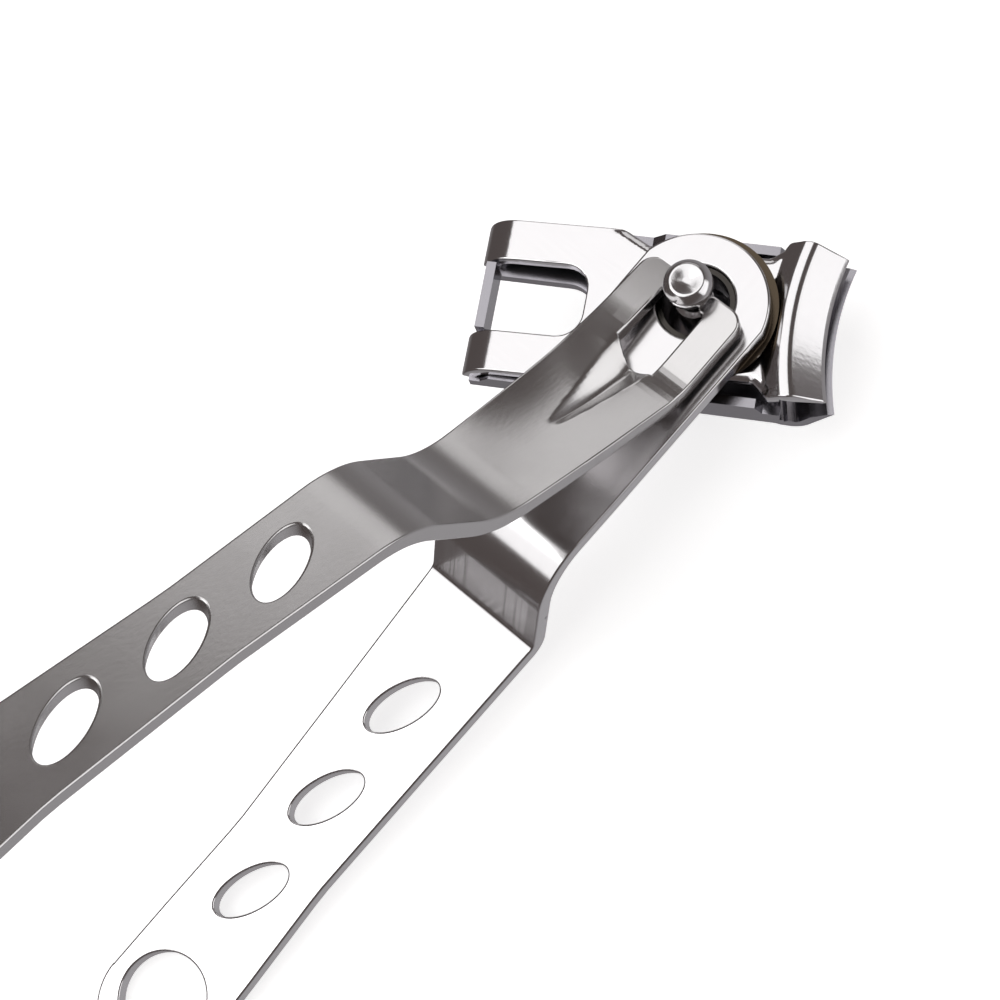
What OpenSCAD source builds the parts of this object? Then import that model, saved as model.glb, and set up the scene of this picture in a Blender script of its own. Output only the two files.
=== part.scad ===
// Toenail clipper with plier handles and a head that swivels on the ring of the lower handle.
// Millimetres. +Z is up, the pin stands on the Z axis and the handles run towards -X.
// The origin is the middle of the pin's foot, on its underside.

/* [Handles] */
// Thickness of the sheet that both handles are pressed from
handle_t = 1.8; // [1.6:0.1:2.0]
// Outer radius of the lower handle's ring
ring_r = 7.75; // [7.5:0.25:8.5]
// Radius of the hole in the ring
ring_hole_r = 4; // [3.8:0.1:4.2]
// How far the lower handle steps down behind the ring
lower_step = 10.7; // [9:0.1:12]
// Slope of the lower handle's grip, in degrees
lower_slope = 3.9; // [2:0.1:6]
// Length of the lower handle's grip
lower_grip = 58.5; // [58:0.5:64]
// Height of the fork above the ring, to its top face
fork_top = 2.7; // [2.6:0.1:3]
// Slope of the upper handle's neck, in degrees
neck_slope = 29; // [27:0.5:31]
// Slope of the upper handle's grip when the clipper is open, in degrees
upper_slope = 29; // [26:0.5:31]
// Height of the upper handle's grip above the ring, where the grip starts
upper_rise = 28.5; // [27:0.5:30]
// Length of the upper handle's grip
upper_grip = 56; // [55:0.5:62]

/* [Pin] */
// Radius of the pin's shaft
pin_r = 2; // [1.8:0.1:2.2]
// Radius of the neck that the fork straddles
neck_r = 1.5; // [1.3:0.1:1.6]
// Radius of the pin's cap
cap_r = 2.45; // [2.3:0.05:2.6]
// Height of the cap's flat top above the ring
cap_top = 5.75; // [5.7:0.05:6.2]
// Radius of the pin's foot
foot_r = 3.4; // [3.2:0.1:4]
// Height of the ring's top face above the underside of the foot
ring_z = 9.9; // [9.8:0.1:10.2]

/* [Head] */
// Angle that the head is swivelled to, in degrees
head_yaw = -59; // [-180:1:180]
// Angle that the lower jaw hangs open, in degrees
jaw_open = 4.2; // [0:0.1:4.2]
// Half the width of the upper jaw's plate
upper_half_w = 8.3; // [8.1:0.1:8.4]
// Half the width of the upper jaw's waist
waist_half_w = 6.6; // [6.2:0.1:6.8]
// Half the width of the lower jaw
lower_half_w = 8.7; // [8.6:0.1:9]
// Half the width of the cutting edges
edge_half_w = 7.6; // [7:0.1:7.8]
// Distance from the pin to the middle of the upper cutting edge
upper_reach = 12.8; // [12.7:0.1:13]
// Distance from the pin to the front of the lower jaw
lower_reach = 13.4; // [13.2:0.1:13.6]
// Distance from the pin to the back of the head
head_rear = 23.4; // [23:0.1:24]
// Thickness of the upper jaw
upper_jaw_t = 1.4; // [1.3:0.1:1.5]
// Thickness of the lower jaw
lower_jaw_t = 1.3; // [1.2:0.1:1.4]

/* [Hidden] */

$fn = 64;
bend_step = 7;
over = 1;
side_run = 40;
grip_run = 80;

// Lower handle: where its ramp starts and ends behind the pin, and its grip's holes
ring_offset = 0.5;
lower_ramp_start = 31.3;
lower_ramp_end = 36.1;
lower_bends = [0, 8, 1, 0];
lower_widths = [[0, 7.5], [20, 7.35], [36.1, 7.1], [52.4, 6.45], [68.7, 5.85], [80, 6.3], [87, 6.6]];
lower_tail_r = 6.6;
lower_tail_hole_r = 4.7;
lower_tail_hole_at = 51;

// Upper handle: fork, neck and grip
fork_front = 1;
fork_half_w = 6.3;
fork_corner_r = 1.6;
fork_window = [1.2, 8];
fork_window_half_w = 2.65;
fork_notch_half_w = 1.75;
neck_start = 9;
neck_end = 30.2;
upper_ramp_end = 36.9;
upper_widths = [[10, 6.3], [30.2, 5.3], [36.9, 4.9], [55, 4.45], [73, 5], [80, 5.9]];
upper_tail_r = 5.9;
upper_tail_hole_r = 3.9;
upper_tail_hole_at = 48.5;

// Oval holes in the grips
oval_count = 3;
oval_pitch = 12.04;
oval_slant = 22.7;
lower_oval = [4.3, 2.05];
lower_oval_at = 12.9;
upper_oval = [4.55, 1.95];
upper_oval_at = 11.2;

// Fulcrum: a funnel pressed into the neck behind the fork's window
fulcrum_tip = 18.8;
fulcrum_gap = 0.05;
fulcrum_depth = fork_top - handle_t - fulcrum_gap;
fulcrum_tip_r = 0.6;
lip_r = 0.4;
lip_half_w = 1.5;
lip_relief = 20;

// Pin
cap_h = 2;
cap_chamfer = 0.75;
shaft_top = 0.4;
shoulder_h = 0.4;
foot_top = -8.65;
foot_slope = 0.35;
foot_edge = 0.4;

// Swivel washer and eyelet
washer_r = 8.1;
washer_t = 1.1;
washer_rim_t = 0.27;
washer_hub_r = 6.4;
washer_gap = 0.05;
fit_gap = 0.03;
eyelet_r = ring_hole_r - 0.08;
eyelet_wall = 0.5;
eyelet_top = -0.5;
eyelet_flange_r = 5.2;
eyelet_flange_t = 0.4;

// Head, measured from the ring's top face and with the jaws closed
upper_plate_top = -handle_t - washer_gap - washer_t;
upper_plate_bottom = upper_plate_top - upper_jaw_t;
jaw_space = 1.25;
lower_plate_top = upper_plate_bottom - jaw_space;
lower_plate_bottom = lower_plate_top - lower_jaw_t;
jaw_meet = -4.65;
meet_gap = 0.05;
edge_sag = 1;
edge_plan_r = (edge_half_w * edge_half_w + edge_sag * edge_sag) / (2 * edge_sag);
hump_rise = 1;
hump_angle = 30;
hump_rear = 5.95;
hump_top_w = 1.1;
hump_bends = [0, 1, 1.5, 1.5, 0];
front_run = 12;
land_w = 0.6;
land_relief = 20;
land_relief_run = 4.5;
slot_half_w = 3.9;
slot_end = 11.9;
tab_clearance = 0.1;
tab_bend_r = 1.7;
tab_foot_r = 0.8;
jaw_hinge = [-(head_rear - upper_jaw_t / 2), lower_plate_top + tab_clearance + tab_foot_r];

// Lower jaw's walls, window and pin hole
wall_t = 1;
wall_gap = 0.1;
ear = [-5.2, 6.6];
ear_slope_run = [1.4, 0.7];
ear_top = upper_plate_top - 0.15;
wall_front = 9;
rear_inset = 0.3;
window_half_w = 3;
window_end = 11.5;
rear_wall_half_w = 3.6;
rear_wall_top = -3.4;
jaw_hole_r = 2.6;

// Spring between the jaws, a cone of round wire
spring_wire_r = 0.22;
spring_turns = 3;
spring_r = [3.5, 5.6];
spring_sides = 8;
spring_rings_per_turn = 24;
spring_foot_gap = 0.75;
spring_head_gap = 0.3;

// ---- Bent sheet: a line of corners with a bend radius at each, seen from the side ----

function heading(c, i) = atan2(c[i + 1].y - c[i].y, c[i + 1].x - c[i].x);

// Points [x, y, heading] round corner i
function corner_arc(c, r, i) =
    let (a = heading(c, i - 1), turn = heading(c, i) - a, side = sign(turn),
         start = c[i] - r[i] * tan(abs(turn) / 2) * [cos(a), sin(a)],
         centre = start + r[i] * side * [-sin(a), cos(a)],
         n = ceil(abs(turn) / bend_step))
    [for (k = [0:n]) let (h = a + turn * k / n) concat(centre + r[i] * side * [sin(h), -cos(h)], [h])];

// The sheet's upper face: every corner rounded, from the first point to the last
function face_line(c, r) = concat(
    [concat(c[0], [heading(c, 0)])],
    [for (i = [1:len(c) - 2]) each corner_arc(c, r, i)],
    [concat(c[len(c) - 1], [heading(c, len(c) - 2)])]);

function below(line, depth) = [for (s = line) [s[0] + depth * sin(s[2]), s[1] - depth * cos(s[2])]];

function reversed(list) = [for (i = [len(list) - 1:-1:0]) list[i]];

module sheet_profile(c, r, t) {
    line = face_line(c, r);
    polygon(concat(below(line, 0), reversed(below(line, t))));
}

// Stands a side view up in the XZ plane, centred on Y
module side_extrude(width = side_run) rotate([90, 0, 0]) linear_extrude(width, center = true) children();

// The same for a view whose first axis points backwards, along -X
module rearward_extrude(width = side_run) mirror([1, 0, 0]) side_extrude(width) children();

// ---- Plan shapes ----

function arc(centre, r, from, to, n = 12) =
    [for (i = [0:n]) centre + r * [cos(from + (to - from) * i / n), sin(from + (to - from) * i / n)]];

function ellipse(a, b, n = 40) = [for (i = [0:n - 1]) [a * cos(360 * i / n), b * sin(360 * i / n)]];

// Outline that is as wide as the stations say and ends in a round tail
module grip_plan(stations, tail_x, tail_r) {
    sides = [for (s = stations) [-s[0], s[1]]];
    mirrored = [for (s = sides) [s.x, -s.y]];
    polygon(concat(sides, arc([-tail_x, 0], tail_r, 90, 270, 24), reversed(mirrored)));
}

module tall_extrude(height = 100) linear_extrude(height, center = true) children();

// Places children in the frame of a grip: X runs along it to the tail, Z is square to its face
module on_grip(start, height, slope) translate([-start, 0, height]) rotate([0, -slope, 180]) children();

module oval_holes(size, first, slant) {
    for (i = [0:oval_count - 1])
        translate([first + i * oval_pitch, 0, 0])
            rotate([0, 0, slant])
                linear_extrude(4 * handle_t, center = true)
                    polygon(ellipse(size.x, size.y));
}

// ---- Lower handle ----

module lower_handle() {
    corners = [[-ring_r - over, 0], [lower_ramp_start, 0], [lower_ramp_end, -lower_step],
               [lower_ramp_end + grip_run * cos(lower_slope), -lower_step - grip_run * sin(lower_slope)]];
    tail_x = lower_ramp_end + (lower_grip - lower_tail_r) * cos(lower_slope);
    color("gainsboro")
    difference() {
        intersection() {
            rearward_extrude() sheet_profile(corners, lower_bends, handle_t);
            tall_extrude() {
                grip_plan(lower_widths, tail_x, lower_tail_r);
                translate([-ring_offset, 0]) circle(ring_r);
            }
        }
        cylinder(r = ring_hole_r, h = 4 * handle_t, center = true);
        on_grip(lower_ramp_end, -lower_step, -lower_slope) {
            oval_holes(lower_oval, lower_oval_at, -oval_slant);
            translate([lower_tail_hole_at, 0, 0])
                cylinder(r = lower_tail_hole_r, h = 4 * handle_t, center = true);
        }
    }
}

// ---- Upper handle ----

neck_rise = (neck_end - neck_start) * tan(neck_slope);
upper_corners = [[-fork_front, fork_top], [neck_start, fork_top], [neck_end, fork_top + neck_rise],
                 [upper_ramp_end, upper_rise],
                 [upper_ramp_end + grip_run * cos(upper_slope), upper_rise + grip_run * sin(upper_slope)]];
upper_bends = [0, 4, 13, 13, 0];

module fork_plan() {
    front = fork_front - fork_corner_r;
    wide = fork_half_w - fork_corner_r;
    polygon(concat(arc([front, wide], fork_corner_r, 0, 90), [[-upper_widths[0][0], fork_half_w]],
                   [[-upper_widths[0][0], -fork_half_w]], arc([front, -wide], fork_corner_r, 270, 360)));
}

module fork_opening() {
    translate([-fork_window[1], -fork_window_half_w])
        square([fork_window[1] - fork_window[0], 2 * fork_window_half_w]);
    translate([-fork_window[0] - over, -fork_notch_half_w])
        square([fork_window[0] + fork_front + 2 * over, 2 * fork_notch_half_w]);
}

// A cone that lies along the fulcrum's groove; grow makes it fatter by the sheet's thickness
module fulcrum_cone(grow) {
    mouth_r = (fork_window_half_w * fork_window_half_w + fulcrum_depth * fulcrum_depth) / (2 * fulcrum_depth);
    tip_top = fork_top + (fulcrum_tip - neck_start) * tan(neck_slope);
    start = [-fork_window[1], 0, fulcrum_gap + handle_t + mouth_r];
    end = [-fulcrum_tip, 0, tip_top + fulcrum_tip_r];
    run = end - start;
    translate(start)
        rotate([0, atan2(run.x, run.z), 0])
            translate([0, 0, -over])
                cylinder(r1 = mouth_r + grow, r2 = fulcrum_tip_r + grow, h = norm(run) + over);
}

// The bulge under the groove. Its underside rises from the lip, so that it never meets the strip below.
module fulcrum_bulge() {
    run = fulcrum_tip - fork_window[1];
    intersection() {
        fulcrum_cone(handle_t);
        rearward_extrude(2 * (fork_half_w - 2)) sheet_profile(upper_corners, upper_bends, 2 * handle_t);
        translate([-fork_window[1], 0, fulcrum_gap])
            rotate([0, lip_relief, 0])
                translate([-run, -fork_half_w, 0])
                    cube([run, 2 * fork_half_w, 3 * handle_t]);
        translate([-fulcrum_tip, -fork_half_w, 0])
            cube([run, 2 * fork_half_w, 2 * fork_top + over]);
    }
}

// The round bar that the handle rocks on
module fulcrum_lip() {
    translate([-fork_window[1], 0, fulcrum_gap + lip_r])
        rotate([90, 0, 0])
            cylinder(r = lip_r, h = 2 * lip_half_w, center = true);
}

module upper_handle() {
    tail_x = upper_ramp_end + (upper_grip - upper_tail_r) * cos(upper_slope);
    color("dimgray")
    difference() {
        union() {
            intersection() {
                rearward_extrude() sheet_profile(upper_corners, upper_bends, handle_t);
                tall_extrude(200) {
                    grip_plan(upper_widths, tail_x, upper_tail_r);
                    fork_plan();
                }
            }
            fulcrum_bulge();
        }
        fulcrum_cone(0);
        tall_extrude() fork_opening();
        on_grip(upper_ramp_end, upper_rise, upper_slope) {
            oval_holes(upper_oval, upper_oval_at, oval_slant);
            translate([upper_tail_hole_at, 0, 0])
                cylinder(r = upper_tail_hole_r, h = 4 * handle_t, center = true);
        }
    }
    color("dimgray") fulcrum_lip();
}

// ---- Pin ----

module pivot_pin() {
    cap_bottom = cap_top - cap_h;
    color("silver")
    rotate_extrude()
        polygon([[0, -ring_z], [foot_r - foot_edge, -ring_z], [foot_r, -ring_z + foot_edge],
                 [foot_r, foot_top - foot_slope], [pin_r, foot_top], [pin_r, shaft_top],
                 [neck_r, shaft_top + shoulder_h], [neck_r, cap_bottom], [cap_r, cap_bottom],
                 [cap_r, cap_top - cap_chamfer], [cap_r - cap_chamfer, cap_top], [0, cap_top]]);
}

// ---- Swivel ----

module swivel_washer() {
    hole_r = eyelet_r + fit_gap;
    bottom = upper_plate_top + fit_gap;
    top = upper_plate_top + washer_t;
    color("darkgray")
    rotate_extrude()
        polygon([[hole_r, bottom], [washer_hub_r, bottom], [washer_hub_r, top - washer_rim_t],
                 [washer_r, top - washer_rim_t], [washer_r, top], [hole_r, top]]);
}

module swivel_eyelet() {
    flange_top = upper_plate_bottom - fit_gap;
    flange_bottom = flange_top - eyelet_flange_t;
    inside = eyelet_r - eyelet_wall;
    color("gray")
    rotate_extrude()
        polygon([[inside, flange_bottom], [eyelet_flange_r, flange_bottom], [eyelet_flange_r, flange_top],
                 [eyelet_r, flange_top], [eyelet_r, eyelet_top], [inside, eyelet_top]]);
}

// ---- Jaws ----

module in_head() rotate([0, 0, head_yaw]) children();

// Vertical axis that the cutting edges and the humps behind them curve round
function edge_axis(reach) = reach + edge_plan_r;

// Side view of a jaw's front, measured from its cutting edge back to the plate.
// fall is how far the edge lies inside the plate's outer face.
function front_corners(fall) =
    let (crest = -hump_rear + hump_rise / tan(hump_angle))
    [[-front_run, 0], [-hump_rear, 0], [crest, hump_rise], [crest + hump_top_w, hump_rise], [0, -fall]];

// The sheet, ground hollow behind its edge so that only a narrow land meets the other jaw
module front_profile(fall, t) {
    relief_rise = land_relief_run * tan(land_relief);
    difference() {
        sheet_profile(front_corners(fall), hump_bends, t);
        translate([-land_w, -fall])
            polygon([[0, 0], [-land_relief_run, relief_rise], [-land_relief_run, -t], [0, -t]]);
    }
}

// The curved front of a jaw, revolved round its vertical axis; side -1 turns it upside down
module jaw_front(reach, face, fall, t, side) {
    axis = edge_axis(reach);
    translate([axis, 0, face])
        rotate([0, 0, 150])
            scale([1, 1, side])
                rotate_extrude(angle = 60, $fn = 240)
                    mirror([1, 0]) translate([-edge_plan_r, 0]) front_profile(fall, t);
}

module upper_plan() {
    half = [[-head_rear, upper_half_w], [-9, upper_half_w], [-5.9, waist_half_w], [6.2, waist_half_w],
            [7.4, waist_half_w + 1], [8, upper_half_w], [10, upper_half_w],
            [upper_reach + edge_sag + over, edge_half_w]];
    polygon(concat(half, reversed([for (p = half) [p.x, -p.y]])));
}

module slot_plan(half_w, end, rear) {
    r = min(half_w, 3);
    polygon(concat([[-rear, half_w]], arc([-end - r, half_w - r], r, 90, 0),
                   arc([-end - r, r - half_w], r, 0, -90), [[-rear, -half_w]]));
}

module upper_jaw() {
    plate_end = 2;
    rear_corners = [[-head_rear, jaw_hinge.y], [-head_rear, upper_plate_top], [0, upper_plate_top]];
    color("whitesmoke")
    in_head()
        difference() {
            intersection() {
                union() {
                    side_extrude() sheet_profile(rear_corners, [0, tab_bend_r, 0], upper_jaw_t);
                    side_extrude() translate(jaw_hinge) circle(tab_foot_r);
                    jaw_front(upper_reach, upper_plate_top, upper_plate_top - jaw_meet, upper_jaw_t, 1);
                    translate([-plate_end, -waist_half_w, upper_plate_bottom])
                        cube([2 * plate_end, 2 * waist_half_w, upper_jaw_t]);
                }
                tall_extrude() upper_plan();
            }
            tall_extrude() slot_plan(slot_half_w, slot_end, head_rear + over);
            translate([0, 0, jaw_meet - 10]) cube([60, 60, 20], center = true);
            cylinder(r = eyelet_r + fit_gap, h = 50, center = true);
        }
}

module lower_plan() {
    half = [[-head_rear + rear_inset, lower_half_w], [wall_front, lower_half_w],
            [lower_reach + edge_sag + over, edge_half_w]];
    polygon(concat(half, reversed([for (p = half) [p.x, -p.y]])));
}

// Side view of the walls: low under the upper plate, with an ear where the upper jaw has its waist
module wall_side() {
    low = upper_plate_bottom - wall_gap;
    rear = -head_rear + upper_jaw_t + wall_gap;
    polygon([[rear, lower_plate_bottom], [rear, low - wall_t], [rear + wall_t, low],
             [ear[0] - ear_slope_run[0], low], [ear[0], ear_top], [ear[1], ear_top],
             [ear[1] + ear_slope_run[1], low], [wall_front, low], [wall_front, lower_plate_bottom]]);
}

module lower_walls() {
    for (side = [-1, 1])
        translate([0, side * (lower_half_w - wall_t / 2), 0])
            side_extrude(wall_t) wall_side();
    translate([-head_rear + rear_inset, -rear_wall_half_w, lower_plate_bottom])
        cube([wall_t, 2 * rear_wall_half_w, rear_wall_top - lower_plate_bottom]);
}

module closed_lower_jaw() {
    difference() {
        union() {
            intersection() {
                union() {
                    translate([-head_rear + rear_inset, -lower_half_w, lower_plate_bottom])
                        cube([head_rear + 2, 2 * lower_half_w, lower_jaw_t]);
                    jaw_front(lower_reach, lower_plate_bottom, jaw_meet - lower_plate_bottom, lower_jaw_t, -1);
                }
                tall_extrude() lower_plan();
            }
            lower_walls();
        }
        tall_extrude() slot_plan(window_half_w, window_end, head_rear - rear_inset - wall_t);
        translate([10, -lower_half_w - over, jaw_meet - meet_gap])
            cube([20, 2 * lower_half_w + 2 * over, 20]);
        cylinder(r = jaw_hole_r, h = 50, center = true);
    }
}

// Swings children open about the jaws' hinge at the back of the head
module swing_open() {
    pivot = [jaw_hinge.x, 0, jaw_hinge.y];
    translate(pivot) rotate([0, jaw_open, 0]) translate(-pivot) children();
}

module lower_jaw() color("lightgray") in_head() swing_open() closed_lower_jaw();

// ---- Spring ----

spring_low = lower_plate_top + jaw_hinge.x * sin(jaw_open) + spring_foot_gap;
spring_high = upper_plate_bottom - fit_gap - eyelet_flange_t - spring_head_gap;

function spring_centre(turn) =
    let (f = turn / spring_turns, r = spring_r[1] + (spring_r[0] - spring_r[1]) * f)
    [r * cos(360 * turn), r * sin(360 * turn), spring_low + (spring_high - spring_low) * f];

function spring_ring(turn) =
    let (c = spring_centre(turn), a = 360 * turn)
    [for (k = [0:spring_sides - 1])
        let (b = 360 * k / spring_sides)
        c + spring_wire_r * [cos(b) * cos(a), cos(b) * sin(a), sin(b)]];

module jaw_spring() {
    rings = spring_turns * spring_rings_per_turn;
    points = [for (i = [0:rings]) each spring_ring(i / spring_rings_per_turn)];
    sides = [for (i = [0:rings - 1], k = [0:spring_sides - 1])
        let (a = i * spring_sides, next = (k + 1) % spring_sides)
        [a + k, a + spring_sides + k, a + spring_sides + next, a + next]];
    first = [for (k = [0:spring_sides - 1]) k];
    last = [for (k = [spring_sides - 1:-1:0]) rings * spring_sides + k];
    color("slategray") polyhedron(points, concat(sides, [first], [last]));
}

module at_height() translate([0, 0, ring_z]) children();

at_height() lower_handle();
at_height() upper_handle();
at_height() pivot_pin();
at_height() swivel_washer();
at_height() swivel_eyelet();
at_height() upper_jaw();
at_height() lower_jaw();
at_height() jaw_spring();
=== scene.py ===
# Looks of the plier nail clipper: finer pressed-steel pieces over the CAD frame, steel finishes,
# a studio and the camera. Lengths are in metres, in the frame's own axes: the pin stands on Z,
# both handles run towards -X, and heights are taken from the ring's top face.

from math import asin, atan2, cos, degrees, hypot, pi, radians, sin, sqrt, tan

import bmesh
import bpy
from mathutils import Matrix, Vector


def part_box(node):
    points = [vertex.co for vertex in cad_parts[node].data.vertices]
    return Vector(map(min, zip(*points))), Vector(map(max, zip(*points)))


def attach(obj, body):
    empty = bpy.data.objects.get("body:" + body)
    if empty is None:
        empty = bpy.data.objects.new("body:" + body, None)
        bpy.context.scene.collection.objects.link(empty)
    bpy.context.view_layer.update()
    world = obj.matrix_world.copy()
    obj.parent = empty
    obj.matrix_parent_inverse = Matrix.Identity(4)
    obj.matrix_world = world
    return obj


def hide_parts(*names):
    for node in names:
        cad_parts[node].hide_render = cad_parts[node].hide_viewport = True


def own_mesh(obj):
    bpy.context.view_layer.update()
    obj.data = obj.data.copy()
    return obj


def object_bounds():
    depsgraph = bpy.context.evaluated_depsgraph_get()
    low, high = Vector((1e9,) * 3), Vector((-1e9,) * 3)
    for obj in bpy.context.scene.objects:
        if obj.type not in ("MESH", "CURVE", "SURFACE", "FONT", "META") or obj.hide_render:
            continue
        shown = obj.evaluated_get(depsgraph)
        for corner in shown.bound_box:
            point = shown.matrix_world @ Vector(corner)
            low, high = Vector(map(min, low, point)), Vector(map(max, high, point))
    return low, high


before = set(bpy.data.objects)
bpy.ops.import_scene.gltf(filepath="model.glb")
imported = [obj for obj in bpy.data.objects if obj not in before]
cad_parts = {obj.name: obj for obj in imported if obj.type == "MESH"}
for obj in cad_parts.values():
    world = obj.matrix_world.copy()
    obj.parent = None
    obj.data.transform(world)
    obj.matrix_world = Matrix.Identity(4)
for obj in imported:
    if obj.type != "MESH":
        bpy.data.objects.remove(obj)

MM = 0.001
bounds_at_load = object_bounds()

# ---- Sizes that several pieces share ----

RING_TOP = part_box("lower_handle")[1].z
SHEET = 1.8 * MM
EDGE = 0.22 * MM
FIT = 0.05 * MM
OVALS = 3
OVAL_PITCH = 12.04 * MM
OVAL_SLANT = 22.7

# ---- Paths that a flat sheet is bent along ----

# A bend is walked in parts no larger than these
STEP_ANGLE = radians(6)
STEP_RUN = 0.7 * MM


def bent_path(corners, bends):
    """Stations (s, point, heading) along the sheet's top face, with a bend radius at each corner."""
    points = [Vector(c) for c in corners]
    headings = [atan2(b.y - a.y, b.x - a.x) for a, b in zip(points, points[1:])]
    stations = [(0.0, points[0], headings[0])]
    for corner, radius, before, after in zip(points[1:], bends, headings, headings[1:]):
        turn = after - before
        side = 1 if turn > 0 else -1
        trim = radius * tan(abs(turn) / 2)
        start = corner - trim * Vector((cos(before), sin(before)))
        centre = start + radius * side * Vector((-sin(before), cos(before)))
        count = max(2, int(abs(turn) / STEP_ANGLE) + 1, int(radius * abs(turn) / STEP_RUN) + 1)
        s = stations[-1][0] + (start - stations[-1][1]).length
        for k in range(count + 1):
            h = before + turn * k / count
            here = centre + radius * side * Vector((sin(h), -cos(h)))
            stations.append((s + radius * abs(turn) * k / count, here, h))
    last = points[-1]
    stations.append((stations[-1][0] + (last - stations[-1][1]).length, last, headings[-1]))
    return stations


def on_path(path, s):
    """Place and heading of the top face at distance s along a path."""
    for (s0, p0, h0), (s1, p1, h1) in zip(path, path[1:]):
        if s <= s1 or s1 == path[-1][0]:
            f = (s - s0) / (s1 - s0) if s1 > s0 else 0.0
            return p0.lerp(p1, f), h0 + (h1 - h0) * f
    return path[-1][1], path[-1][2]


def from_tail(path, run):
    """Distance from a path's end back to where it is run behind the pin."""
    length = path[-1][0]
    for (s0, p0, _), (s1, p1, _) in zip(path, path[1:]):
        if p1.x >= run:
            return length - (s0 + (s1 - s0) * (run - p0.x) / (p1.x - p0.x))
    return 0.0


def below(place, heading, depth):
    """Run and height of the point that lies depth below the top face."""
    return place.x + depth * sin(heading), place.y - depth * cos(heading)


# ---- Flat blanks with rounded edges ----


def blank(name, outlines, thickness, edge):
    """A flat plate round local z = 0: the first outline is the outside, the rest are holes."""
    curve = bpy.data.curves.new(name, "CURVE")
    curve.dimensions = "2D"
    curve.fill_mode = "BOTH"
    curve.extrude = thickness / 2 - edge
    curve.bevel_depth = edge
    curve.bevel_resolution = 2
    curve.offset = -edge
    for outline in outlines:
        spline = curve.splines.new("POLY")
        spline.points.add(len(outline) - 1)
        for point, (x, y) in zip(spline.points, outline):
            point.co = (x, y, 0, 1)
        spline.use_cyclic_u = True
    holder = bpy.data.objects.new(name, curve)
    bpy.context.scene.collection.objects.link(holder)
    bpy.context.view_layer.update()
    mesh = bpy.data.meshes.new_from_object(holder)
    bpy.data.objects.remove(holder)
    bpy.data.curves.remove(curve)
    bm = bmesh.new()
    bm.from_mesh(mesh)
    bpy.data.meshes.remove(mesh)
    weld = 0.002 * MM
    bmesh.ops.remove_doubles(bm, verts=bm.verts, dist=weld)
    bm.normal_update()
    # Marks the flat faces, so that their borders with the rounded edges stay crisp
    on_face = bm.faces.layers.int.new("on_face")
    flat = 0.999
    for face in bm.faces:
        face[on_face] = abs(face.normal.z) > flat
    return bm


def cut(bm, axis, places, keep=None):
    """Cuts the blank across an axis at each place, where keep says so of a face's centre."""
    across = Vector((1, 0, 0)) if axis == 0 else Vector((0, 1, 0))
    snap = 0.0001 * MM
    for place in places:
        faces = [f for f in bm.faces if keep is None or keep(f.calc_center_median())]
        edges = {e for f in faces for e in f.edges}
        verts = {v for f in faces for v in f.verts}
        bmesh.ops.bisect_plane(bm, geom=list(verts) + list(edges) + faces, dist=snap,
                               plane_co=across * place, plane_no=across)


def steps(first, last, size):
    """Places from first to last, about size apart."""
    count = max(1, round((last - first) / size))
    return [first + (last - first) * k / count for k in range(count + 1)]


def finish_piece(name, bm, material, body, nodes, sharp=35):
    """Turns a bmesh into a shown piece that rides on a CAD body and stands for CAD nodes."""
    bmesh.ops.recalc_face_normals(bm, faces=bm.faces)
    on_face = bm.faces.layers.int.get("on_face")
    for face in bm.faces:
        face.smooth = True
    for edge in bm.edges:
        sides = edge.link_faces
        edge.smooth = len(sides) == 2 and edge.calc_face_angle(0) < radians(sharp)
        if on_face and edge.smooth:
            edge.smooth = sides[0][on_face] == sides[1][on_face]
    mesh = bpy.data.meshes.new(name)
    bm.to_mesh(mesh)
    bm.free()
    piece = bpy.data.objects.new(name, mesh)
    bpy.context.scene.collection.objects.link(piece)
    mesh.materials.append(material)
    normals = piece.modifiers.new("even_normals", "WEIGHTED_NORMAL")
    normals.keep_sharp = True
    normals.weight = 80
    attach(piece, body)
    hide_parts(*nodes)
    return piece


# ---- Outlines ----


def in_mm(points):
    """Points that are given in millimetres."""
    return [(x * MM, y * MM) for x, y in points]


def mirrored(points):
    """The same points across the centre line, in reverse order."""
    return [(x, -y) for x, y in reversed(points)]


def arc(centre, radius, first, last, count=16):
    """Points on an arc between two angles in degrees, both ends included."""
    angles = [radians(first + (last - first) * k / count) for k in range(count + 1)]
    return [(centre[0] + radius * cos(a), centre[1] + radius * sin(a)) for a in angles]


def circle(centre, radius):
    """A full circle, whose last point stops one step short of the first."""
    return arc(centre, radius, 0, 354.4, 63)


def ellipse(centre, half_long, half_short, slant, count=56):
    tilt = radians(slant)
    points = []
    for k in range(count):
        a = 2 * pi * k / count
        u = half_long * cos(a)
        v = half_short * sin(a)
        points.append((centre[0] + u * cos(tilt) - v * sin(tilt), centre[1] + u * sin(tilt) + v * cos(tilt)))
    return points


def ovals(first, pitch, half_long, half_short):
    """A grip's row of slanted ovals."""
    return [ellipse((first + pitch * k, 0), half_long, half_short, OVAL_SLANT) for k in range(OVALS)]


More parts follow.
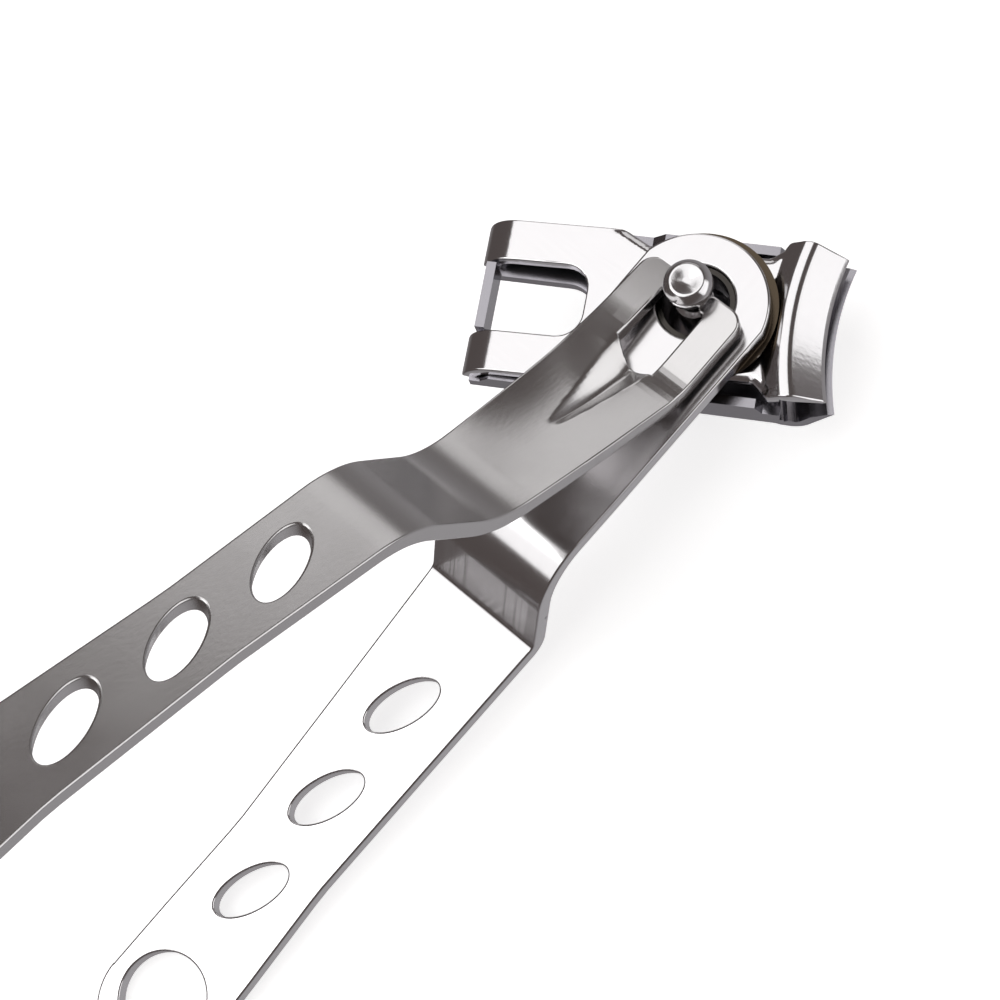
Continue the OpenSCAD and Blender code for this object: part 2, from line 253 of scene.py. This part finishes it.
def rounded(points, radii, arc_step=15):
    """A polygon whose corners are rounded by the radii; zero keeps a corner sharp."""
    outline = []
    count = len(points)
    straight = radians(178)
    for k, radius in enumerate(radii):
        here = Vector(points[k])
        to_last = (Vector(points[k - 1]) - here).normalized()
        to_next = (Vector(points[(k + 1) % count]) - here).normalized()
        opening = to_last.angle(to_next)
        if radius <= 0 or opening > straight:
            outline.append(tuple(here))
            continue
        trim = radius / tan(opening / 2)
        centre = here + (to_last + to_next).normalized() * radius / sin(opening / 2)
        start = here + to_last * trim - centre
        turn = start.angle_signed(here + to_next * trim - centre)
        parts = max(2, int(degrees(abs(turn)) / arc_step) + 1)
        for j in range(parts + 1):
            a = -turn * j / parts
            outline.append((centre.x + start.x * cos(a) - start.y * sin(a),
                            centre.y + start.x * sin(a) + start.y * cos(a)))
    return outline


def finer(outline, longest):
    """Splits an outline's long sides, so that it can follow a curved mapping."""
    result = []
    for (x0, y0), (x1, y1) in zip(outline, outline[1:] + outline[:1]):
        count = max(1, int(hypot(x1 - x0, y1 - y0) / longest) + 1)
        result += [(x0 + (x1 - x0) * k / count, y0 + (y1 - y0) * k / count) for k in range(count)]
    return result


def width_at(stations, run):
    """Half-width of a strip at a distance behind the pin, straight between its stations."""
    for (x0, w0), (x1, w1) in zip(stations, stations[1:]):
        if run <= x1:
            f = max(0.0, (run - x0) / (x1 - x0))
            return w0 + (w1 - w0) * f
    return stations[-1][1]


def eased(t):
    """Goes from 0 to 1 with a soft start and end."""
    t = min(1, max(0, t))
    return t * t * (3 - 2 * t)


# ---- Steel ----


def shader(name):
    """A new material, its node tree and its surface shader."""
    material = bpy.data.materials.new(name)
    material.use_nodes = True
    tree = material.node_tree
    return material, tree, tree.nodes["Principled BSDF"]


def add_node(tree, kind, inputs, operation=None):
    """Adds a shader node, sets its inputs or links them to given outputs, and gives its outputs."""
    node = tree.nodes.new("ShaderNode" + kind)
    if operation:
        node.operation = operation
    for key, value in inputs.items():
        if isinstance(value, bpy.types.NodeSocket):
            tree.links.new(value, node.inputs[key])
        else:
            node.inputs[key].default_value = value
    return node.outputs


def remap(tree, value, low, high, start=0.0, end=1.0):
    """Maps a value from start..end onto low..high."""
    limits = {"From Min": start, "From Max": end, "To Min": low, "To Max": high}
    return add_node(tree, "MapRange", {"Value": value, **limits})["Result"]


def specked(tree, place, colour, share):
    """Darkens a colour in small dots; share is about how many of the dots' cells show one."""
    dots = add_node(tree, "TexVoronoi", {"Vector": place, "Scale": 420.0})
    outside = remap(tree, dots["Distance"], 0.0, 1.0, 0.05, 0.09)
    empty = add_node(tree, "Math", {0: dots["Color"], 1: share}, "GREATER_THAN")["Value"]
    clean = add_node(tree, "Math", {0: outside, 1: empty}, "MAXIMUM")["Value"]
    shade = remap(tree, clean, 0.45, 1.0)
    return add_node(tree, "VectorMath", {0: colour, "Scale": shade}, "SCALE")["Vector"]


def scaled_in_front(tree, place, value, factor):
    """Multiplies a value by a factor ahead of the bend behind the fork."""
    along = add_node(tree, "SeparateXYZ", {"Vector": place})["X"]
    share = remap(tree, along, 1.0, factor, -12 * MM, -6 * MM)
    return add_node(tree, "Math", {0: value, 1: share}, "MULTIPLY")["Value"]


def steel(name, colour, roughness, grain, grain_depth=0.1, specks=0.0, front=None):
    """Metal with fine grain, slow patches in its polish and a few dark specks.

    grain is how close its lines lie along X, Y and Z. front is the roughness ahead of the bend
    behind the fork, where it differs."""
    patchiness = 0.25
    material, tree, bsdf = shader(name)
    place = add_node(tree, "TexCoord", {})["Object"]
    stretched = add_node(tree, "Mapping", {"Vector": place, "Scale": grain})["Vector"]
    lines = add_node(tree, "TexNoise", {"Vector": stretched, "Scale": 90.0, "Detail": 4.0})["Fac"]
    patches = add_node(tree, "TexNoise", {"Vector": place, "Scale": 140.0, "Detail": 3.0})["Fac"]

    tone = remap(tree, lines, 0.97, 1.015)
    tinted = add_node(tree, "VectorMath", {0: colour, "Scale": tone}, "SCALE")["Vector"]
    if specks:
        tinted = specked(tree, place, tinted, specks)
    rough = remap(tree, patches, roughness * (1 - patchiness), roughness * (1 + patchiness))
    if front:
        rough = scaled_in_front(tree, place, rough, front / roughness)
    bump = add_node(tree, "Bump", {"Strength": grain_depth, "Distance": 0.02 * MM, "Height": lines})

    bsdf.inputs["Metallic"].default_value = 1.0
    tree.links.new(tinted, bsdf.inputs["Base Color"])
    tree.links.new(rough, bsdf.inputs["Roughness"])
    tree.links.new(bump["Normal"], bsdf.inputs["Normal"])
    return material


BRIGHT = steel("bright_handle", (0.80, 0.79, 0.80), 0.17, grain=(1, 14, 14), specks=0.06)
SATIN = steel("satin_handle", (0.70, 0.69, 0.69), 0.24, grain=(0.6, 30, 30), grain_depth=0.2,
              specks=0.03, front=0.2)
PIN = steel("pin_steel", (0.78, 0.77, 0.78), 0.16, grain=(30, 3, 30), grain_depth=0.5)
# The washer's golden-brown tint is its own; its near-black darkness is painted shade.
WASHER_TINT_AND_SHADE = steel("washer_tint_and_painted_shade", (0.085, 0.066, 0.046), 0.2, grain=(8, 8, 8))
# Near-black eyelet: painted shade for the dark hollow round the pin.
EYELET_PAINTED_SHADE = steel("eyelet_painted_shade", (0.06, 0.055, 0.05), 0.22, grain=(8, 8, 8))
JAW = steel("jaw_finish", (0.80, 0.79, 0.80), 0.14, grain=(30, 3, 30), grain_depth=0.3)
# Lower jaw steel at half brightness: painted shade for the shadow it lies in under the upper jaw.
LOWER_JAW_PAINTED_SHADE = steel("lower_jaw_painted_shade", (0.40, 0.39, 0.42), 0.2, grain=(12, 2, 12))
SPRING = steel("spring_finish", (0.5, 0.5, 0.51), 0.25, grain=(8, 8, 8))


def paint(node, material, edge):
    """Shows a CAD node as it is, with its corners rounded a little."""
    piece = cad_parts[node]
    piece.data.materials.clear()
    piece.data.materials.append(material)
    rounding = piece.modifiers.new("rounding", "BEVEL")
    rounding.width = edge
    rounding.segments = 3
    rounding.limit_method = "ANGLE"
    rounding.angle_limit = radians(38)
    rounding.harden_normals = True


paint("swivel_washer", WASHER_TINT_AND_SHADE, 0.1 * MM)
paint("swivel_eyelet", EYELET_PAINTED_SHADE, 0.1 * MM)
paint("lower_jaw", LOWER_JAW_PAINTED_SHADE, 0.15 * MM)

# ---- Lower handle: a ring, a strip, a step down and a grip ----

# Distance behind the pin, half-width
LOWER_WIDTHS = in_mm([(0, 7.5), (20, 7.35), (36.1, 7.1), (52.4, 6.45), (68.7, 5.85), (80, 6.3), (90, 6.6)])


def lower_handle():
    slope = radians(3.9)
    ramp_start = 31.3 * MM
    ramp_end = 36.1 * MM
    drop = 10.7 * MM
    grip = 58.5 * MM
    front = 10 * MM
    end = (ramp_end + grip * cos(slope), -drop - grip * sin(slope))
    path = bent_path([(-front, 0), (ramp_start, 0), (ramp_end, -drop), end], [8 * MM, 1 * MM])
    length = path[-1][0]
    grip_start = length - grip

    ring_r = 7.75 * MM
    ring_centre = (front + 0.5 * MM, 0)
    ring_half = degrees(asin(LOWER_WIDTHS[0][1] / ring_r))
    ring = arc(ring_centre, ring_r, 180 - ring_half, 180 + ring_half, 48)
    tail_r = 6.6 * MM
    tail = length - tail_r
    side = []
    for s in steps(front + 2 * MM, tail, 2 * MM):
        place, _ = on_path(path, s)
        side.append((s, -width_at(LOWER_WIDTHS, place.x)))
    outline = ring + side + arc((tail, 0), tail_r, -90, 90, 32) + mirrored(side)
    pin_hole = circle((front, 0), 4 * MM)
    tail_hole = circle((grip_start + 51 * MM, 0), 4.7 * MM)
    holes = [pin_hole] + ovals(grip_start + 12.9 * MM, OVAL_PITCH, 4.3 * MM, 2.05 * MM) + [tail_hole]

    bm = blank("lower_handle_steel", [outline] + holes, SHEET, EDGE)
    bends = [s for s, _, _ in path[1:-1]]
    cut(bm, 0, bends + steps(front + 10 * MM, bends[0], 4 * MM) + steps(grip_start, tail, 3 * MM))
    for vert in bm.verts:
        place, heading = on_path(path, vert.co.x)
        run, height = below(place, heading, SHEET / 2 - vert.co.z)
        vert.co = Vector((-run, vert.co.y, RING_TOP + height))
    finish_piece("lower_handle_steel", bm, BRIGHT, "lower_handle",
                 ["lower_handle"])


lower_handle()

# ---- Upper handle: a fork round the pin's neck, a grooved neck, a step up and a grip ----

# Distance behind the pin, half-width
UPPER_WIDTHS = in_mm([(10, 6.3), (30.2, 5.3), (36.9, 4.9), (55, 4.45), (73, 5), (80, 5.9), (90, 5.9)])
UPPER_GRIP = 56 * MM
UPPER_TAIL_R = 5.9 * MM
FORK_HALF_W = 6.3 * MM
FORK_TOP = 2.7 * MM
# Distances behind the pin
FORK_FRONT = -1 * MM
FORK_BEND = 9 * MM
FULCRUM = 8 * MM
GROOVE_TIP = 19.2 * MM
NECK_START = 9.5 * MM
NECK_FLAT = 27 * MM

GROOVE_HALF_W = 2.65 * MM
GROOVE_TIP_HALF_W = 0.5 * MM
LIP_RELIEF = radians(20)


def upper_paths():
    """Paths of the near and the far side: the far prong is bent a little less than the near one."""
    slope = radians(29)
    neck_end = 30.2 * MM
    ramp_end = 36.9 * MM
    rise = 28.5 * MM
    neck_top = FORK_TOP + (neck_end - FORK_BEND) * tan(slope)
    end = (ramp_end + UPPER_GRIP * cos(slope), rise + UPPER_GRIP * sin(slope))
    rear = [(neck_end, neck_top), (ramp_end, rise), end]
    rear_radii = [13 * MM, 13 * MM]
    near = bent_path([(FORK_FRONT, FORK_TOP), (FORK_BEND, FORK_TOP)] + rear, [8 * MM] + rear_radii)

    lean = radians(7)
    level_at = 4 * MM
    far_bend = (FORK_BEND * tan(slope) - level_at * tan(lean)) / (tan(slope) - tan(lean))
    far_corner = (far_bend, FORK_TOP + (far_bend - level_at) * tan(lean))
    far_front = (FORK_FRONT, FORK_TOP + (FORK_FRONT - level_at) * tan(lean))
    far = bent_path([far_front, far_corner] + rear, [30 * MM] + rear_radii)
    return near, far


def lip_run(y):
    """Distance behind the pin of the groove's hollow front edge."""
    across = y / GROOVE_HALF_W
    return (8.5 - 0.5 * across + 0.75 * (1 - across * across)) * MM


def upper_outline(near):
    """Flat outline of the lever, measured from its tail's end."""
    length = near[-1][0]
    side = []
    for d in steps(UPPER_TAIL_R, from_tail(near, FORK_BEND + 1 * MM), 2 * MM):
        place, _ = on_path(near, length - d)
        side.append((d, width_at(UPPER_WIDTHS, place.x)))
    front = from_tail(near, FORK_FRONT)
    mouth = from_tail(near, 1.2 * MM)
    mouth_half_w = 1.75 * MM
    prong = [(front, FORK_HALF_W), (front, mouth_half_w), (mouth, mouth_half_w), (mouth, GROOVE_HALF_W)]
    prong_radii = [1.8 * MM, 0.6 * MM, 0.4 * MM, 0.4 * MM]
    lip = [(from_tail(near, lip_run(y)), y) for y in steps(GROOVE_HALF_W, -GROOVE_HALF_W, -0.4 * MM)]
    points = side + prong + lip + mirrored(prong) + mirrored(side)
    side_radii = [0] * len(side)
    radii = side_radii + prong_radii + [0] * len(lip) + prong_radii[::-1] + side_radii
    tail = arc((UPPER_TAIL_R, 0), UPPER_TAIL_R, -90, -270, 32)
    return rounded(points, radii) + tail[1:-1]


def groove_depth(t):
    """Depth of the groove from its lip (t = 0), which rests on the lower handle, to its tip (t = 1)."""
    lip_depth = FORK_TOP - SHEET - FIT
    return lip_depth * (1 - t) + 0.75 * MM * sin(pi * t ** 0.6)


def groove_section(u):
    """Depth across the groove: 1 on its valley line, a straight wall on the near side, a soft one beyond."""
    if u > 0:
        return (1 + cos(pi * min(1, u / 1.25))) / 2
    blunt = 0.05
    return max(0.0, (1 - sqrt(u * u + blunt)) / (1 - sqrt(blunt)))


def groove_push(t, y):
    """How far the groove presses the sheet down at t of its length, y across."""
    ahead_of_lip = -0.1
    if not ahead_of_lip < t < 1:
        return 0.0
    valley = -0.3 * MM * (1 - t)
    t = max(0, t)
    half_w = GROOVE_HALF_W + (GROOVE_TIP_HALF_W - GROOVE_HALF_W) * t
    side_w = half_w - valley if y > valley else half_w + valley
    return groove_depth(t) * groove_section((y - valley) / side_w)


def neck_push(t, y):
    """How far the neck is hollowed at t of its length, y across."""
    if not 0 < t < 1:
        return 0.0
    return 0.7 * MM * sin(pi * t) * (1 - (y / FORK_HALF_W) ** 2)


def upper_handle():
    near, far = upper_paths()
    length = near[-1][0]
    far_length = far[-1][0]
    tail_hole = circle((UPPER_GRIP - 48.5 * MM, 0), 3.9 * MM)
    holes = ovals(UPPER_GRIP - 11.2 * MM, -OVAL_PITCH, 4.55 * MM, 1.95 * MM) + [tail_hole]
    bm = blank("upper_handle_steel", [upper_outline(near)] + holes, SHEET, EDGE)

    lip = from_tail(near, FULCRUM)
    tip = from_tail(near, GROOVE_TIP)
    neck_start = from_tail(near, NECK_START)
    neck_flat = from_tail(near, NECK_FLAT)
    bends = [length - s for s, _, _ in near[1:-1]] + [far_length - s for s, _, _ in far[1:-1]]
    grip_cuts = steps(UPPER_GRIP, UPPER_GRIP + 4 * MM, 1 * MM) + steps(UPPER_TAIL_R, UPPER_GRIP, 3 * MM)
    cut(bm, 0, bends + grip_cuts)
    cut(bm, 0, steps(tip - 1 * MM, lip + 0.3 * MM, 0.4 * MM))
    cut(bm, 0, steps(neck_flat, tip - 1 * MM, 0.8 * MM))
    cut(bm, 1, steps(-6 * MM, 6 * MM, 1 * MM), lambda c: neck_flat < c.x < neck_start)
    cut(bm, 1, steps(-3.6 * MM, 3.9 * MM, 0.25 * MM), lambda c: tip - 1.2 * MM < c.x < lip + 0.5 * MM)
    for vert in bm.verts:
        d, y, z = vert.co
        depth = SHEET / 2 - z
        depth += groove_push((lip - d) / (lip - tip), y)
        depth += neck_push((neck_start - d) / (neck_start - neck_flat), y)
        far_share = eased(0.5 + y / (2 * GROOVE_HALF_W))
        place, heading = on_path(near, length - d)
        far_place, far_heading = on_path(far, max(0, far_length - d))
        place = place.lerp(far_place, far_share)
        heading += (far_heading - heading) * far_share
        run, height = below(place, heading, depth)
        if z < 0 and FULCRUM < run < NECK_FLAT:
            height = max(height, FIT + (run - FULCRUM) * tan(LIP_RELIEF))
        vert.co = Vector((-run, y, RING_TOP + height))
    finish_piece("upper_handle_steel", bm, SATIN, "lever", ["upper_handle"])


upper_handle()

# ---- Upper jaw: a slotted plate with tabs bent down behind and a blade in front ----

HEAD_YAW = radians(-59)
JAW_SHEET = 1.4 * MM
PLATE_TOP = -2.95 * MM
PLATE_HALF_W = 8.3 * MM
SLOT_HALF_W = 3.9 * MM
# How far the cutting edge's middle is ahead of the pin, and its curve in plan
REACH = 12.8 * MM
EDGE_HALF_W = 7.6 * MM
EDGE_SAG = 1 * MM
EDGE_R = (EDGE_HALF_W ** 2 + EDGE_SAG ** 2) / (2 * EDGE_SAG)
BLADE_FALL = 1.7 * MM
BLADE_LAND = 0.5 * MM
BLADE_RELIEF = radians(20)
# The tabs start to turn down at TAB_START behind the pin
TAB_R = 4 * MM
TAB_TURN = radians(66)
TAB_START = 23.4 * MM - 0.8 * TAB_R
# The waist's edge in plan, and the stretch of the blank that it lies in
WAIST = in_mm([(7.4, 7.6), (6.2, 6.6), (-5.9, 6.6), (-9, 8.3)])
WAIST_REAR = -24 * MM
WAIST_FRONT = -4.5 * MM


def in_head(point):
    """A place in the head's own axes, turned as the head is at rest."""
    x, y, z = point
    return Vector((x * cos(HEAD_YAW) - y * sin(HEAD_YAW),
                   x * sin(HEAD_YAW) + y * cos(HEAD_YAW),
                   z + RING_TOP))


def behind_edge(point):
    """Plan point (x, y) as (minus its distance behind the curved cutting edge, y)."""
    x, y = point
    return EDGE_R - hypot(REACH + EDGE_R - x, y), y


def in_plan(point):
    """The plan point of such a distance."""
    back, y = point
    return REACH + EDGE_R - sqrt((EDGE_R - back) ** 2 - y * y), y


def height_at(path, x, depth=0.0):
    """Height of a sheet's face, or of the face depth below it, at x."""
    last = None
    for _, place, heading in path:
        here = below(place, heading, depth)
        if last and here[0] >= x:
            f = (x - last[0]) / (here[0] - last[0]) if here[0] > last[0] else 0
            return last[1] + (here[1] - last[1]) * f
        last = here
    return last[1]


def jaw_front_path():
    """The plate's top face up to the cutting edge: a pressed hump and the blade."""
    hump = in_mm([(-12, 0), (-5.95, 0), (-4.218, 1), (-3.118, 1)])
    blade = [(-0.3 * MM, 0.45 * MM - BLADE_FALL), (0, 0.08 * MM - BLADE_FALL)]
    return bent_path(hump + blade, [1 * MM, 1.5 * MM, 1.5 * MM, 0.1 * MM])


def front_height(path, back, share):
    """Height in the hump and the blade, at a share of the sheet; the blade's underside is ground."""
    inner = height_at(path, back, JAW_SHEET)
    if back > WAIST_FRONT:
        ground = max(0.0, -back - BLADE_LAND) * tan(BLADE_RELIEF) - BLADE_FALL
        inner = max(inner, ground)
    return PLATE_TOP + height_at(path, back) * (1 - share) + inner * share


def tab_place(x, share):
    """Where a point of the tabs is, x and height, at a share of the sheet."""
    angle = min(TAB_TURN, (-x - TAB_START) / TAB_R)
    straight = max(0.0, -x - TAB_START - TAB_R * TAB_TURN)
    radius = TAB_R - share * JAW_SHEET
    return (-TAB_START - radius * sin(angle) - straight * cos(angle),
            PLATE_TOP - TAB_R + radius * cos(angle) - straight * sin(angle))


def waist_wear(x, y):
    """How far the plate's top is rounded off along its waist."""
    width = 0.9 * MM
    nearest = width
    here = Vector((x, abs(y)))
    for start, end in zip(WAIST, WAIST[1:]):
        a = Vector(start)
        b = Vector(end)
        along = max(0, min(1, (here - a).dot(b - a) / (b - a).length_squared))
        nearest = min(nearest, (here - a.lerp(b, along)).length)
    return 0.5 * MM * (1 - nearest / width) ** 2


def by_waist(side):
    """Tells the faces that lie along the waist on that side (1 or -1)."""
    return lambda c: WAIST_REAR < c.x < WAIST_FRONT and side * c.y > 5 * MM


def jaw_outline():
    """Plan of the flattened plate; the cutting edge's curve closes it in front."""
    tab_end = TAB_START + TAB_R * TAB_TURN + 0.5 * MM
    slot_end = 11.9 * MM
    front = [(14.2 * MM, EDGE_HALF_W), (10.2 * MM, PLATE_HALF_W), (8 * MM, PLATE_HALF_W)]
    tab = [(-tab_end, PLATE_HALF_W), (-tab_end, SLOT_HALF_W), (-slot_end, SLOT_HALF_W)]
    half = front + WAIST + tab
    radii = [r * MM for r in (0, 1, 0.6, 0.3, 0.8, 1.2, 1.2, 0.5, 0.3, 2.6)]
    sides = rounded(half + mirrored(half), radii + radii[::-1])
    sides = [(x, y) for x, y in sides if x < 13 * MM]
    edge = [in_plan((0, y)) for y in steps(-EDGE_HALF_W, EDGE_HALF_W, 0.6 * MM)]
    return sides + edge


def upper_jaw():
    lines = [jaw_outline(), circle((0, 0), 3.95 * MM)]
    flat = [[behind_edge(point) for point in finer(line, 1.5 * MM)] for line in lines]
    bm = blank("upper_jaw_steel", flat, JAW_SHEET, 0.16 * MM)

    path = jaw_front_path()
    tabs = -REACH - TAB_START
    cut(bm, 0, [place.x for _, place, _ in path[1:-1]] + [-BLADE_LAND])
    cut(bm, 0, steps(tabs - 4.5 * MM, tabs + 0.6 * MM, 0.3 * MM))
    cut(bm, 1, steps(-8 * MM, 8 * MM, 1 * MM))
    cut(bm, 0, [WAIST_REAR, WAIST_FRONT])
    for side in (-1, 1):
        cut(bm, 1, steps(side * 5.2 * MM, side * 8.2 * MM, side * 0.2 * MM), by_waist(side))
        cut(bm, 0, steps(-23 * MM, -5 * MM, 0.35 * MM), by_waist(side))
    hump_zone = -11 * MM
    for vert in bm.verts:
        share = 0.5 - vert.co.z / JAW_SHEET
        back = vert.co.x
        x, y = in_plan((back, vert.co.y))
        wear = waist_wear(x, y) * max(0.0, 1 - 2 * share)
        if back > hump_zone:
            z = front_height(path, back, share)
        elif x > -TAB_START:
            z = PLATE_TOP - share * JAW_SHEET
        else:
            x, z = tab_place(x, share)
        vert.co = in_head((x, y, z - wear))
    finish_piece("upper_jaw_steel", bm, JAW, "swivel_head", ["upper_jaw"])


upper_jaw()

# ---- Pin: a foot, a shaft, a neck and a dished cap ----


def turned(profile, count=72):
    """Revolves a half section (radius, height) from the axis back to the axis."""
    bm = bmesh.new()
    rings = []
    for radius, height in profile:
        angles = [2 * pi * k / count for k in range(count)] if radius > 0 else [0]
        rings.append([bm.verts.new((radius * cos(a), radius * sin(a), height)) for a in angles])
    for lower, upper in zip(rings, rings[1:]):
        for k in range(count):
            n = (k + 1) % count
            if len(lower) == 1:
                bm.faces.new((lower[0], upper[n], upper[k]))
            elif len(upper) == 1:
                bm.faces.new((lower[k], lower[n], upper[0]))
            else:
                bm.faces.new((lower[k], lower[n], upper[n], upper[k]))
    return bm


def pivot_pin():
    """Radii and heights in millimetres, from the foot up; the cap's top is slightly hollow."""
    foot = [(0, -9.9), (3, -9.9), (3.25, -9.83), (3.4, -9.6),
            (3.4, -9.05), (3.3, -8.95), (2.15, -8.66), (2, -8.5)]
    shaft = [(2, 0.35), (1.96, 0.45), (1.54, 0.76), (1.5, 0.85)]
    cap = [(1.5, 3.75), (2.3, 3.75), (2.4, 3.8), (2.45, 3.9),
           (2.45, 4.85), (2.38, 5.05), (1.82, 5.6), (1.7, 5.68)]
    top = [(1.5, 5.65), (1.0, 5.54), (0.5, 5.43), (0, 5.35)]
    profile = [(radius, RING_TOP + height) for radius, height in in_mm(foot + shaft + cap + top)]
    finish_piece("pivot_pin_steel", turned(profile), PIN, "pull_pin",
                 ["pivot_pin"], sharp=50)


pivot_pin()

# ---- Spring: a cone of round wire ----


def jaw_spring():
    wire_r = 0.22 * MM
    turns = 3
    per_turn = 36
    wide = 5.6 * MM
    narrow = 3.5 * MM
    low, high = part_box("jaw_spring")
    bottom = low.z + wire_r
    top = high.z - wire_r
    around = [2 * pi * k / 10 for k in range(10)]
    bm = bmesh.new()
    rings = []
    for i in range(turns * per_turn + 1):
        f = i / (turns * per_turn)
        a = 2 * pi * turns * f
        radius = wide + (narrow - wide) * f
        centre = Vector((radius * cos(a), radius * sin(a), bottom + (top - bottom) * f))
        outward = Vector((cos(a), sin(a), 0))
        upward = Vector((0, 0, 1))
        rings.append([bm.verts.new(centre + wire_r * (outward * cos(b) + upward * sin(b))) for b in around])
    for first, second in zip(rings, rings[1:]):
        for k in range(len(around)):
            n = (k + 1) % len(around)
            bm.faces.new((first[k], second[k], second[n], first[n]))
    bm.faces.new(rings[0])
    bm.faces.new(rings[-1])
    piece = finish_piece("jaw_spring_wire", bm, SPRING, "swivel_head",
                         ["jaw_spring"], sharp=60)
    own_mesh(piece)


jaw_spring()

# ---- Studio ----


def card(name, azimuth, elevation, size, radiance):
    """A soft light seen from the clipper in that direction, size wide and high, as bright as radiance."""
    distance = 0.6
    aim = Vector((-0.01, 0, 0.01))
    data = bpy.data.lights.new(name, "AREA")
    data.shape = "RECTANGLE"
    data.size, data.size_y = size
    data.energy = radiance * pi * size[0] * size[1]
    light = bpy.data.objects.new(name, data)
    bpy.context.scene.collection.objects.link(light)
    a = radians(azimuth)
    e = radians(elevation)
    direction = Vector((cos(e) * cos(a), cos(e) * sin(a), sin(e)))
    light.location = aim + direction * distance
    light.rotation_euler = direction.to_track_quat("Z", "Y").to_euler()


def room():
    """A dark room that is paler below."""
    world = bpy.data.worlds.new("studio")
    bpy.context.scene.world = world
    world.use_nodes = True
    tree = world.node_tree
    paler_towards = (0.35, -0.35, -0.87)
    direction = add_node(tree, "TexCoord", {})["Generated"]
    share = add_node(tree, "VectorMath", {0: direction, 1: paler_towards}, "DOT_PRODUCT")["Value"]
    shade = tree.nodes.new("ShaderNodeValToRGB")
    dark, pale = shade.color_ramp.elements
    dark.color = (0.09, 0.076, 0.073, 1)
    pale.color = (0.4, 0.39, 0.4, 1)
    tree.links.new(share, shade.inputs["Fac"])
    tree.links.new(shade.outputs["Color"], tree.nodes["Background"].inputs["Color"])


def floor():
    """A plain pale floor that glows a little and isn't seen in the steel."""
    half = 3.0
    low = bounds_at_load[0].z - 0.1 * MM
    mesh = bpy.data.meshes.new("floor")
    mesh.from_pydata([(-half, -half, low), (half, -half, low), (half, half, low), (-half, half, low)],
                     [], [(0, 1, 2, 3)])
    plane = bpy.data.objects.new("floor", mesh)
    bpy.context.scene.collection.objects.link(plane)
    material, tree, bsdf = shader("floor")
    noise = add_node(tree, "TexNoise", {"Scale": 30.0})["Fac"]
    tree.links.new(remap(tree, noise, 0.9, 0.92), bsdf.inputs["Base Color"])
    bsdf.inputs["Roughness"].default_value = 0.9
    bsdf.inputs["Emission Strength"].default_value = 0.7
    bsdf.inputs["Emission Color"].default_value = (1, 1, 1, 1)
    mesh.materials.append(material)
    plane.visible_glossy = False


def camera():
    """Looks down on the clipper from its near left, turned about the line of sight."""
    azimuth = radians(-104.174)
    elevation = radians(67.959)
    roll = radians(36.084)
    distance = 253.694 * MM
    target = Vector((-27.545 * MM, 1.934 * MM, RING_TOP))
    back = Vector((cos(elevation) * cos(azimuth), cos(elevation) * sin(azimuth), sin(elevation)))
    level = Vector((0, 0, 1)).cross(back).normalized()
    upright = back.cross(level)
    up = upright * cos(roll) + level * sin(roll)
    right = up.cross(back)
    place = target + back * distance
    data = bpy.data.cameras.new("camera")
    data.sensor_width = 36
    data.lens = 92.961
    view = bpy.data.objects.new("camera", data)
    bpy.context.scene.collection.objects.link(view)
    view.matrix_world = Matrix((
        (right.x, up.x, back.x, place.x),
        (right.y, up.y, back.y, place.y),
        (right.z, up.z, back.z, place.z),
        (0, 0, 0, 1)))
    bpy.context.scene.camera = view


room()
card("overhead_softbox", 100, 69, (0.62, 0.5), 1.15)
card("front_right_card", -57, 24, (0.56, 0.48), 1.1)
card("right_card", 37, 20, (0.38, 0.32), 0.7)
card("rear_card", 155, 50, (0.6, 0.5), 1.1)
floor()
camera()
bpy.context.scene.view_settings.view_transform = "Standard"
